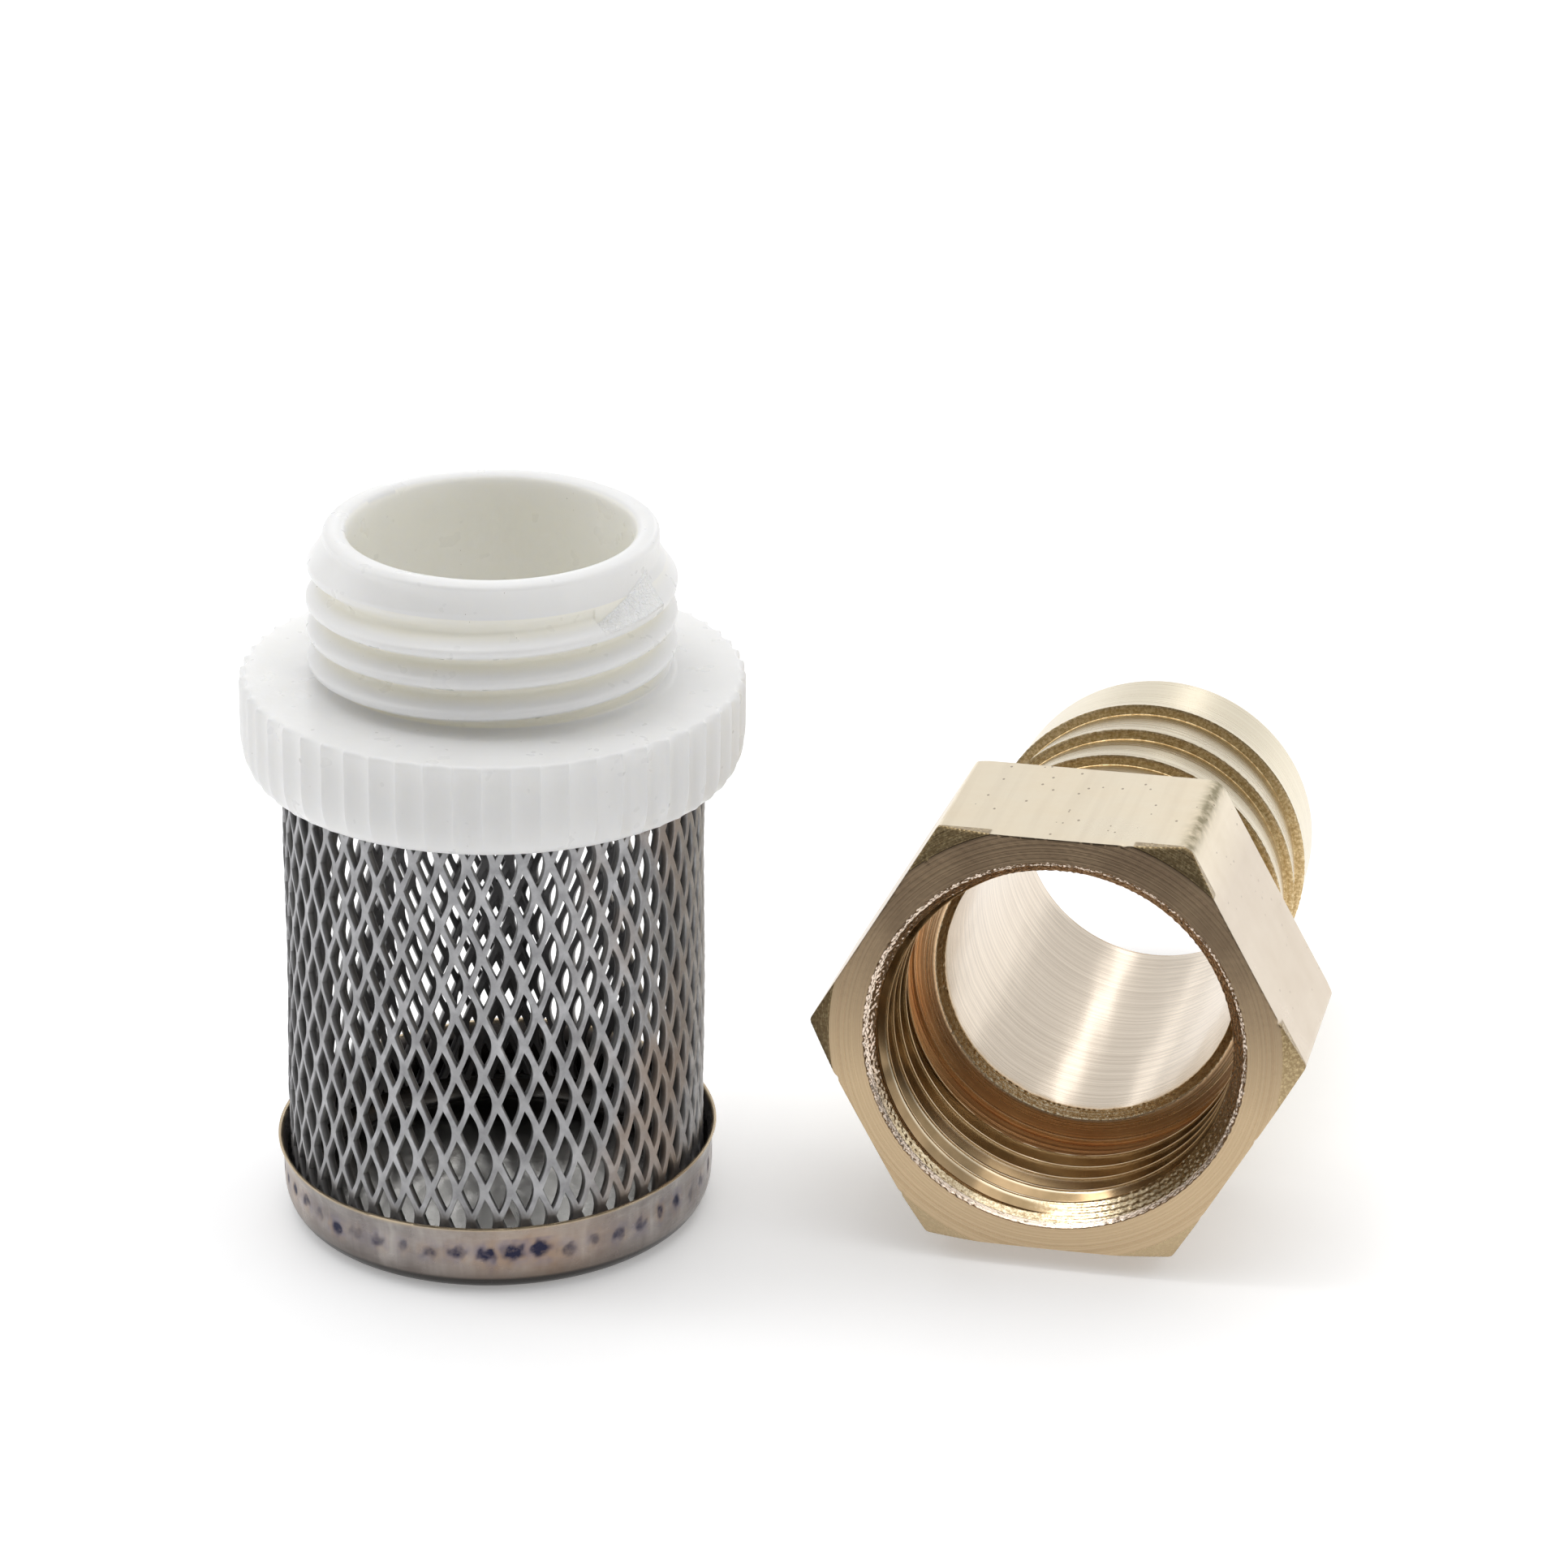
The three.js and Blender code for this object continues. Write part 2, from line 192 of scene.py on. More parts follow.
def loop_quads(rows, columns):
    """Quads of a closed tube of rows x columns points, closed both ways."""
    i, j = np.meshgrid(np.arange(rows), np.arange(columns), indexing="ij")
    down, across = (i + 1) % rows, (j + 1) % columns
    quads = np.stack([i * columns + j, i * columns + across, down * columns + across, down * columns + j], -1)
    return quads.reshape(-1, 4)


def revolved(radius, height, angles):
    """Points of a solid of revolution from radius and height, each of shape (rows, columns)."""
    return np.stack([radius * np.cos(angles), radius * np.sin(angles), height], -1).reshape(-1, 3)


def quarter(steps, start=0.0):
    """Sine and cosine pairs over a quarter turn, from the share start of it to its end."""
    for bend in np.linspace(start, 1, steps) * np.pi / 2:
        yield np.sin(bend), np.cos(bend)


# ------------------------------------------------------------------ threads


def ridge_profile(crest_half, root_half, softness):
    """Height 0..1 of a thread's ridge against the distance from its crest line, with eased corners."""
    x = np.linspace(-THREAD_PITCH, THREAD_PITCH, 401)
    height = np.clip((root_half - np.abs(x)) / (root_half - crest_half), 0, 1)
    kernel = np.exp(-0.5 * np.linspace(-3, 3, 61) ** 2)
    eased = np.zeros_like(height)
    for weight, shift in zip(kernel / kernel.sum(), np.linspace(-3 * softness, 3 * softness, 61)):
        eased += weight * np.interp(x + shift, x, height)
    return x, eased


# ------------------------------------------------------------------ collar


def leaned(points, share=1.0):
    """Points moved and tipped as the collar really sits, a little off the line of the cup."""
    up = np.maximum(points[:, 2] - FLANGE_BOTTOM, 0)
    x = points[:, 0] + share * (COLLAR_SHIFT[0] + COLLAR_LEAN[0] * up)
    y = points[:, 1] + share * (COLLAR_SHIFT[1] + COLLAR_LEAN[1] * up)
    z = points[:, 2] - share * (COLLAR_LEAN[0] * points[:, 0] + COLLAR_LEAN[1] * points[:, 1])
    return np.column_stack([x, y, z])


def collar():
    columns = FLUTES * 16
    angle = np.linspace(0, TAU, columns, endpoint=False)
    wobble = Noise(3, 5, 2, 7)

    turn = (angle - THREAD_START) % TAU
    crest_z = FIRST_CREST + THREAD_PITCH * turn / TAU
    fade = 1 - smoothstep(np.radians(205), np.radians(335), turn)
    slope_width = np.interp(turn, np.radians([0, 27]), [0.2, 1.95])
    slope_width = np.where(turn > np.radians(330), 0.55, slope_width)
    land = 0.2
    ridge_x, ridge_y = ridge_profile(land, 0.78, 0.09)

    def nipple_radius(z):
        """Radius of the threaded nipple at height z for every angle."""
        up = z - crest_z
        upper_flank = np.clip(1 - (up - land) / slope_width, 0, 1) ** 1.25
        lower_flank = np.interp(up, ridge_x, ridge_y)
        top_turn = np.where(up > 0, np.where(up < land, 1.0, upper_flank), lower_flank)
        top_height = 0.14 + (THREAD_DEPTH - 0.14) * fade
        radius = THREAD_MINOR + top_turn * top_height
        below = crest_z - z
        nearest = wrap(below, THREAD_PITCH)
        thread = np.interp(nearest, ridge_x, ridge_y) * (below > THREAD_PITCH * 0.5)
        radius = soft_max(radius, THREAD_MINOR + thread * THREAD_DEPTH, 0.06)
        ring = THREAD_MINOR + (RING_RADIUS - THREAD_MINOR) * smoothstep(-0.62, -0.42, up)
        return soft_max(radius, ring, 0.03)

    rows_r, rows_z = [], []

    def add(radius, z):
        rows_r.append(np.broadcast_to(np.asarray(radius, float), (columns,)))
        rows_z.append(np.broadcast_to(np.asarray(z, float), (columns,)))

    # up the bore, over the rounded top and down the thread
    uneven = 0.03 * wobble(angle, 0.0)
    top = NIPPLE_TOP + 0.02 * wobble(angle, 4.0)
    for z in np.linspace(FLANGE_BOTTOM + 0.1, 41.3, 24):
        add(COLLAR_BORE + 0.02 * wobble(angle, z), z)
    for r, drop in ((8.12, 0.36), (8.18, 0.18), (8.3, 0.05), (8.45, 0.0),
                    (8.8, -0.01), (9.1, 0.0), (9.3, 0.06), (9.41, 0.18)):
        add(r + uneven, top - drop)
    for z in np.arange(41.6, NIPPLE_FOOT, -0.06):
        add(nipple_radius(np.full(columns, z)) + uneven * smoothstep(NIPPLE_FOOT, 41.6, z), z)
    foot = nipple_radius(np.full(columns, NIPPLE_FOOT))
    for sine, cosine in quarter(8, 0.1):
        add(foot + (10.55 - foot) * (1 - cosine), NIPPLE_FOOT - 0.42 * sine)

    # out over the flange, down its flutes and back in underneath
    swell = 0.025 * wobble(angle, 9.0)
    for r in np.linspace(10.9, 13.7, 14):
        add(r, FLANGE_TOP + swell * smoothstep(10.9, 12.5, r))
    scallop = np.abs(np.sin(angle * FLUTES / 2))
    flute = FLUTE_DEPTH * scallop**0.7 * (1 + 0.35 * wobble(angle, 2.0))
    teeth = 0.10 * (1 - scallop) ** 2
    for inset, drop in ((0.42, 0.0), (0.3, 0.01), (0.2, 0.04), (0.12, 0.09), (0.05, 0.17), (0.0, 0.3)):
        share = 1 - inset / 0.5
        tooth = teeth * share * (drop < 0.2)
        add(FLANGE_RADIUS - inset - flute * share, FLANGE_TOP + swell - drop + tooth)
    edge_top = FLANGE_BOTTOM + FLANGE_ROUND
    for z in np.linspace(FLANGE_TOP - 0.5, edge_top, 12):
        add(FLANGE_RADIUS - flute, z)
    for sine, cosine in quarter(10, 0.1):
        add(FLANGE_RADIUS - 1.05 * (1 - cosine) - flute * cosine, edge_top - FLANGE_ROUND * sine)
    for r in np.linspace(13.0, COLLAR_BORE + 0.3, 8):
        add(r, FLANGE_BOTTOM)

    radius, height = np.array(rows_r), np.array(rows_z)
    grid = np.broadcast_to(angle, radius.shape)
    points = leaned(revolved(radius, height, grid))
    quads = loop_quads(len(radius), columns)[:, ::-1]
    up = height - crest_z
    facet = smoothstep(0.17, 0.25, up) * (1 - smoothstep(0.92, 1.05, (up - land) / slope_width))
    outside = height > FLANGE_TOP + 0.3
    # thin marks the thread's grooves, where the look paints the nylon paler as light coming through the wall
    thin = np.where(outside, 1 - smoothstep(9.35, 10.2, radius), 0) * (radius > 9.2) * (height < 39.9)
    masks = {
        "facet": facet * (turn < FACET_SPAN),
        "thin": thin,
        "bore": radius < COLLAR_BORE + 0.1,
    }
    return mesh_piece("nylon_collar", points, quads, 40, masks)


# ------------------------------------------------------------------ sleeve


def diamond():
    """One diamond of expanded sheet as rows of points (across, up, out), with each row's place.

    The rows run from the outer face's edge to the hole, over its wall, and out again on the inner face.
    """
    half_w = TAU * SLEEVE_RADIUS / SLEEVE_COLUMNS / 2
    t = np.linspace(0, 1, 7, endpoint=False)[:, None]
    corner = np.array([(-1, 0), (0, 1), (1, 0), (0, -1)])
    cell = np.concatenate([(1 - t) * corner[i] + t * corner[(i + 1) % 4] for i in range(4)])
    rim_z = np.sign(cell[:, 1]) * np.sin(np.abs(cell[:, 1]) * np.pi / 2) ** 0.85
    sheared = -HOLE_LEFT * (1 - np.abs(rim_z))
    drawn = HOLE_RIGHT * np.cos(np.abs(rim_z) * np.pi / 2) ** 0.92
    rim_x = np.where(cell[:, 0] < 0, sheared, drawn) + 0.05 * np.minimum(rim_z, 0) ** 2
    rim = np.stack([rim_x, rim_z * HOLE_HEIGHT], 1)
    cell = cell * [half_w, ROW_PITCH]

    def lift(x, z):
        """How far the strands stand out of the sheet: each knuckle leans about the vertical."""
        share = smoothstep(0.12, 0.88, np.abs(z) / ROW_PITCH)
        knuckle = np.sign(x) * half_w * (1 - share)
        return STRAND_TILT * (x - knuckle)

    outer, inner = [], []
    for share, drop in ((0.0, 0.07), (0.10, 0.015), (0.30, 0.0), (0.65, 0.0), (1.0, 0.012)):
        flat = rim * (1 - share) + cell * share
        rise = lift(flat[:, 0], flat[:, 1])
        outer.append(np.column_stack([flat, rise - drop]))
        inner.append(np.column_stack([flat, rise - SLEEVE_SHEET + drop]))
    rise = lift(rim[:, 0], rim[:, 1])
    walls = [np.column_stack([rim * 0.985, rise - SLEEVE_SHEET * deep]) for deep in (0.32, 0.68)]
    rows = outer[::-1] + walls + inner
    place = np.repeat(np.arange(len(rows)) - len(outer), len(rim))
    quads = loop_quads(len(rows), len(rim))[: -len(rim)]
    wall = (place == 0) | (place == 1)
    return np.concatenate(rows), quads, wall, place > 0


def sleeve():
    """Expanded sheet rolled into a tube, with every diamond laid in place and welded to its neighbours."""
    patch, quads, wall, inner = diamond()
    points, faces = [], []

    def lay(angle, z, sunk):
        x, up, out = patch[:, 0], patch[:, 1], patch[:, 2]
        a = angle + x / SLEEVE_RADIUS
        r = SLEEVE_RADIUS - 0.13 + out - sunk
        height = np.clip(z + up, SLEEVE_BOTTOM, SLEEVE_TOP)
        faces.append(quads + len(patch) * len(points))
        points.append(np.column_stack([r * np.cos(a), r * np.sin(a), height]))

    for row in range(-2, int((SLEEVE_TOP - FIRST_KNUCKLE) / ROW_PITCH) + 2):
        z = FIRST_KNUCKLE + row * ROW_PITCH
        if z + ROW_PITCH < SLEEVE_BOTTOM or z - ROW_PITCH > SLEEVE_TOP:
            continue
        stagger = (row % 2) / 2
        for column in range(SLEEVE_COLUMNS):
            lay(SLEEVE_PHASE + (column + stagger + 0.5) * SLEEVE_STEP, z - 0.2, 0.0)
        for column in range(3):
            lay(SEAM_ANGLE + (column - 1.3 + stagger) * SLEEVE_STEP, z + 0.7, SEAM_DEPTH)
    walls, inners = np.tile(wall, len(points)), np.tile(inner, len(points))
    points, faces = np.concatenate(points), np.concatenate(faces)

    # points within 1/400 mm of each other become one, and faces squashed flat by the clipping go
    key = np.round(points * 400).astype(np.int64)
    _, first, where = np.unique(key, axis=0, return_index=True, return_inverse=True)
    faces = where.ravel()[faces]
    points, walls, inners = points[first], walls[first], inners[first]
    same = np.sort(faces, 1)
    faces = faces[(same[:, 1:] != same[:, :-1]).all(1)]

    bend = Noise(5, 6, 2, 9, 0.4)
    angle, height = np.arctan2(points[:, 1], points[:, 0]), points[:, 2]
    free = smoothstep(2, 9, height) * (1 - smoothstep(24, 28, height))
    out = 1 + 0.0035 * bend(angle, height) * free
    points = points * np.column_stack([out, out, np.ones(len(out))])
    points = leaned(points, np.clip((height - CUP_HEIGHT) / (FLANGE_BOTTOM - CUP_HEIGHT), 0, 1))
    return mesh_piece("expanded_sleeve", points, faces[:, ::-1], 38, {"wall": walls, "inner": inners})


# ------------------------------------------------------------------ cup


def cup_outline():
    """The cup's section as (radius, height) pairs: under the floor, up the wall, and back down inside."""
    outline = [(0.02, 0.03), (6.0, 0.0), (10.9, 0.0)]
    for sine, cosine in quarter(14):
        outline.append((CUP_FLAT + (CUP_WALL - CUP_FLAT) * sine, 1.95 * (1 - cosine)))
    outline += [(CUP_WALL + 0.01, z) for z in np.linspace(2.15, 3.5, 10)]
    flare = CUP_LIP - CUP_WALL - 0.03
    for t in np.linspace(0.1, 1, 8):
        outline.append((CUP_WALL + 0.01 + flare * t**1.8, 3.5 + (CUP_HEIGHT - 0.06 - 3.5) * t))
    outline += [(CUP_LIP - inset, CUP_HEIGHT + up) for inset, up in ((0.04, 0), (0.12, 0.02), (0.22, -0.02))]
    for t in np.linspace(0, 1, 8):
        outline.append((CUP_LIP - 0.27 - flare * (1 - (1 - t) ** 1.8), CUP_HEIGHT - 0.1 - 1.1 * t))
    outline += [(CUP_WALL - CUP_SHEET, z) for z in np.linspace(3.3, 2.1, 6)]
    for sine, cosine in quarter(10):
        outline.append((CUP_FLAT + (CUP_WALL - CUP_SHEET - CUP_FLAT) * cosine, CUP_SHEET + 1.7 * (1 - sine)))
    outline += [(r, CUP_SHEET) for r in (10.4, 9.0, 7.0, 5.0, 3.0, 1.5, 0.02)]
    return np.array(outline)


def cup():
    columns = 720
    angle = np.linspace(0, TAU, columns, endpoint=False)
    warp = Noise(21, 6, 2, 9, 0.5)
    outline = cup_outline()
    radius = np.repeat(outline[:, :1], columns, 1)
    height = np.repeat(outline[:, 1:], columns, 1)
    wall = smoothstep(1.0, 3.0, height)
    radius = radius + 0.035 * warp(angle, height) * wall * smoothstep(9, 12, radius)
    height = height + 0.05 * warp(angle, 7.0) * smoothstep(3.8, 4.7, height)
    floor = (radius < 10.5) & (height > 0.2)
    ripple = Noise(8, 7, 1, 6, 1.1)
    height = height + 0.05 * ripple(angle, radius) * floor * smoothstep(0.5, 3.0, radius)
    grid = np.broadcast_to(angle, radius.shape)

    # one spot weld under each column of the sleeve, each of its own size, with the darkest in front
    rng = np.random.default_rng(17)
    strength = rng.uniform(0.35, 1.15, SLEEVE_COLUMNS)
    width = rng.uniform(0.24, 0.52, SLEEVE_COLUMNS)
    rise = rng.uniform(-0.25, 0.25, SLEEVE_COLUMNS)
    spot = np.floor((grid - WELD_PHASE) / SLEEVE_STEP + 0.5).astype(int) % SLEEVE_COLUMNS
    across = wrap(grid - WELD_PHASE, SLEEVE_STEP) * CUP_WALL
    front = 1 - smoothstep(np.radians(7), np.radians(11), np.abs(wrap(grid - np.radians(-69))))
    wide = width[spot] * (1 + 0.55 * front)
    tall = 0.42 * (1 + 0.35 * front)
    blot = Noise(23, 9, 60, 170, 9.0)
    away = np.hypot(across / wide, (height - WELD_HEIGHT - rise[spot]) / tall) + 0.22 * blot(grid, height)
    outer = (radius > CUP_WALL - 0.15) & (height < 3.9)
    burnt = outer * np.maximum(strength[spot], front)
    weld = (1 - smoothstep(0.55, 1.35, away)) * burnt
    halo = (1 - smoothstep(0.8, 3.2, away)) * burnt
    tint = sum(
        share * np.exp(-(wrap(grid - np.radians(place)) / spread) ** 2)
        for share, place, spread in ((1.0, -66, 0.33), (0.6, -150, 0.25))
    )
    radius = radius - 0.035 * weld
    # rim: the lip's top edge, which the look paints with a golden highlight
    rim = smoothstep(CUP_HEIGHT - 0.22, CUP_HEIGHT - 0.05, height)

    points = revolved(radius, height, grid)
    lifted = smoothstep(1.5, CUP_HEIGHT, points[:, 2])
    points[:, 2] += (CUP_TILT[0] * points[:, 0] + CUP_TILT[1] * points[:, 1]) * lifted
    within = (height > CUP_SHEET - 0.1) & (radius < CUP_WALL - 0.2)
    inside = within * (1 - smoothstep(10.6, 11.9, radius))
    # within minus inside is the cup's inner wall, which the look paints dark as shade
    masks = {"weld": weld, "halo": halo, "tint": tint, "rim": rim, "inside": inside, "inner_wall_shade": within - inside}
    return mesh_piece("pressed_cup", points, loop_quads(len(outline), columns), 40, masks)


# ------------------------------------------------------------------ hose tail


def hose_tail():
    """The brass tail, ring by ring: over the face and hexagon, along the stem and back down the bore."""
    columns = 1080
    angle = np.linspace(0, TAU, columns, endpoint=False)
    flat = HEX_FLAT / np.cos(wrap(angle - np.pi / 6, np.pi / 3))
    worn = np.exp(-(wrap(angle - np.radians(-60)) / 0.035) ** 2)
    corner = HEX_FLAT / np.cos(np.pi / 6)
    flat = soft_min(flat, corner - 0.04 - 0.10 * worn, 0.09)
    fine = Noise(31, 8, 3, 40, 2.0)
    rough = Noise(32, 10, 60, 200, 14.0)
    low_side = np.exp(-(wrap(angle - np.radians(90)) / 0.85) ** 2)
    nicks = np.zeros(columns)
    rng = np.random.default_rng(41)
    for place, deep in zip(NICK_PLACES, rng.uniform(0.04, 0.12, len(NICK_PLACES))):
        nicks += deep * np.exp(-(wrap(angle - place) / 0.011) ** 2)

    rows_r, rows_z, kinds, marks = [], [], [], []

    def add(radius, z, kind, mark=0.0):
        """One ring of points, of a named kind. The mark says how far its chamfer or crest shows."""
        for store, value in ((rows_r, radius), (rows_z, z), (marks, mark)):
            store.append(np.broadcast_to(np.asarray(value, float), (columns,)))
        kinds.append(kind)

    # the turned face, the corners' chamfer, the flats and the back of the hexagon
    face_edge = soft_min(flat, np.full(columns, HEX_FACE), 0.05)
    mouth = MOUTH_RADIUS + 0.025 * rough(angle, 0.0) * (1 - 0.6 * low_side)
    for t in np.linspace(0, 1, 14):
        r = mouth + (face_edge - 0.03 - mouth) * t
        add(r - nicks * (t > 0.9), FACE_SLOPE * (r - MOUTH_RADIUS) + 0.003 * rough(angle, 8.0 * t), "face")
    edge = FACE_SLOPE * (face_edge - MOUTH_RADIUS)
    beyond = smoothstep(0.0, 0.05, flat - HEX_FACE)
    for deep in (0.015, 0.05, 0.1, 0.16, 0.22, 0.28, 0.34, 0.4, 0.46, 0.52, 0.58, 0.64, 0.7):
        cone = soft_min(flat, HEX_FACE + deep / CHAMFER_SLOPE, 0.05)
        add(cone - nicks * np.exp(-deep / 0.12), edge + deep, "chamfer", beyond)
    for z in np.linspace(1.05, HEX_LENGTH - 0.6, 16):
        add(flat, z, "flats")
    for z in np.linspace(0.5, 0.0, 10):
        cone = soft_min(flat, BACK_CHAMFER + z / CHAMFER_SLOPE * 0.9, 0.06)
        add(cone - 0.06 * (1 - smoothstep(0, 0.1, z)), HEX_LENGTH - z, "flats")
    back = rows_r[-1]
    for t in np.linspace(0.1, 1, 8):
        add(back + (STEM_ROOT + 0.15 - back) * t, HEX_LENGTH, "back")
    add(STEM_ROOT + 0.04, HEX_LENGTH + 0.05, "back")

    # the stem: each barb is a step outwards and a long cone back to the root
    add(STEM_ROOT, HEX_LENGTH + 0.16, "stem")
    steps = [LAST_BARB - i * BARB_PITCH for i in reversed(range(BARBS))]
    root = STEM_ROOT
    for z in np.linspace(HEX_LENGTH + 0.5, steps[0] - 0.1, 10):
        add(root, z, "stem")
    ends = [(STEM_ROOT + 0.02, step - 0.12) for step in steps[1:]] + [(TIP_RADIUS, TAIL_LENGTH - 0.55)]
    for step, (end_r, end) in zip(steps, ends):
        nick = 0.007 * rough(angle, step)
        add(root, step - 0.03, "barb")
        add(root + 0.03, step, "barb")
        for t in (0.3, 0.6, 0.9):
            add(root + (BARB_RADIUS - root) * t, step + 0.03 * t + nick * 0.3, "barb")
        add(BARB_RADIUS + 0.03 + nick, step + 0.07, "barb")
        add(BARB_RADIUS + 0.02 + nick * 0.4, step + 0.14, "stem")
        for t in np.linspace(0.08, 1, 12):
            add(BARB_RADIUS + (end_r - BARB_RADIUS) * t, step + 0.14 + (end - step - 0.14) * t, "stem")
        root = end_r
    for sine, cosine in quarter(7, 0.15):
        add(TIP_RADIUS - 0.5 * (1 - cosine), TAIL_LENGTH - 0.5 + 0.5 * sine, "stem")
    for outwards, drop in ((0.25, 0), (0.12, 0.03), (0.02, 0.15)):
        add(TAIL_BORE + outwards, TAIL_LENGTH - drop, "tip")

    # the bore, its rounded entry, the shoulder and the relief behind the thread
    for z in np.linspace(TAIL_LENGTH - 0.5, SHOULDER + 0.6, 40):
        add(TAIL_BORE + 0.006 * fine(angle, z * 0.3), z, "bore")
    for t in np.linspace(0, 1, 8):
        add(TAIL_BORE + 0.02 + 0.45 * t, SHOULDER + 0.5 - 0.45 * t + 0.01 * rough(angle, 5 * t), "entry")
    for r in np.linspace(9.25, 10.45, 8):
        add(r, SHOULDER + 0.02, "relief")
    add(RELIEF_RADIUS - 0.04, SHOULDER - 0.08, "relief")
    for z in np.linspace(SHOULDER - 0.2, THREAD_END, 12):
        add(RELIEF_RADIUS + 0.03 * np.sin(z * 9.0), z, "relief")

    # the thread under its lead cone, and the burr round the mouth
    crest_x, crest_y = ridge_profile(0.08, 0.72, 0.03)
    depth = THREAD_MAJOR - TAIL_CREST
    offset = THREAD_PITCH * (angle - TAIL_THREAD_PHASE) / TAU
    leads = []
    for z in np.arange(THREAD_END - 0.08, BURR_DEPTH, -0.055):
        ridge = np.interp(wrap(z - offset, THREAD_PITCH), crest_x, crest_y)
        runout = 1 - smoothstep(8.6, 9.9, z)
        thread = THREAD_MAJOR - depth * ridge * runout + 0.12 * (1 - runout)
        cone = BURR_RADIUS - LEAD_SLOPE * (z - BURR_DEPTH)
        lines = 0.006 * np.sin(TAU * (z - offset) / 0.30)
        pitted = cone + 0.02 * rough(angle, z * 9) * (1 - low_side) + lines
        leads.append(smoothstep(-0.03, 0.03, pitted - thread))
        add(soft_max(thread, pitted, 0.03), z, "thread", smoothstep(0.70, 0.90, ridge * runout))
    for t in np.linspace(0, 1, 9)[:-1]:
        ragged = 0.03 * rough(angle, 12 * t) * (1 - low_side)
        add(BURR_RADIUS + (mouth - BURR_RADIUS) * t + ragged, BURR_DEPTH * (1 - t) ** 0.8, "burr")

    radius, height, mark = np.array(rows_r), np.array(rows_z), np.array(marks)
    grid = np.broadcast_to(angle, radius.shape)
    kinds = np.array(kinds)

    def on(kind):
        """1 on the rings of that kind and 0 elsewhere."""
        return np.repeat((kinds == kind)[:, None], columns, 1).astype(float)

    lead = np.zeros_like(radius)
    lead[kinds == "thread"] = leads
    masks = {kind: on(kind) for kind in ("burr", "barb", "stem", "bore", "entry", "relief", "thread")}
    masks.update({
        "chamfer": mark * on("chamfer"),
        "flats": on("flats") + (1 - mark) * on("chamfer"),
        # crest: the thread's crests, which the look paints with a highlight
        "crest": mark * on("thread"),
        "lead": lead,
        "worn": worn * on("flats"),
        "above": 0.5 - 0.5 * np.sin(grid),
    })
    quads = loop_quads(len(radius), columns)[:, ::-1]
    return mesh_piece("brass_hose_tail", revolved(radius, height, grid), quads, 28, masks)


# ------------------------------------------------------------------ materials


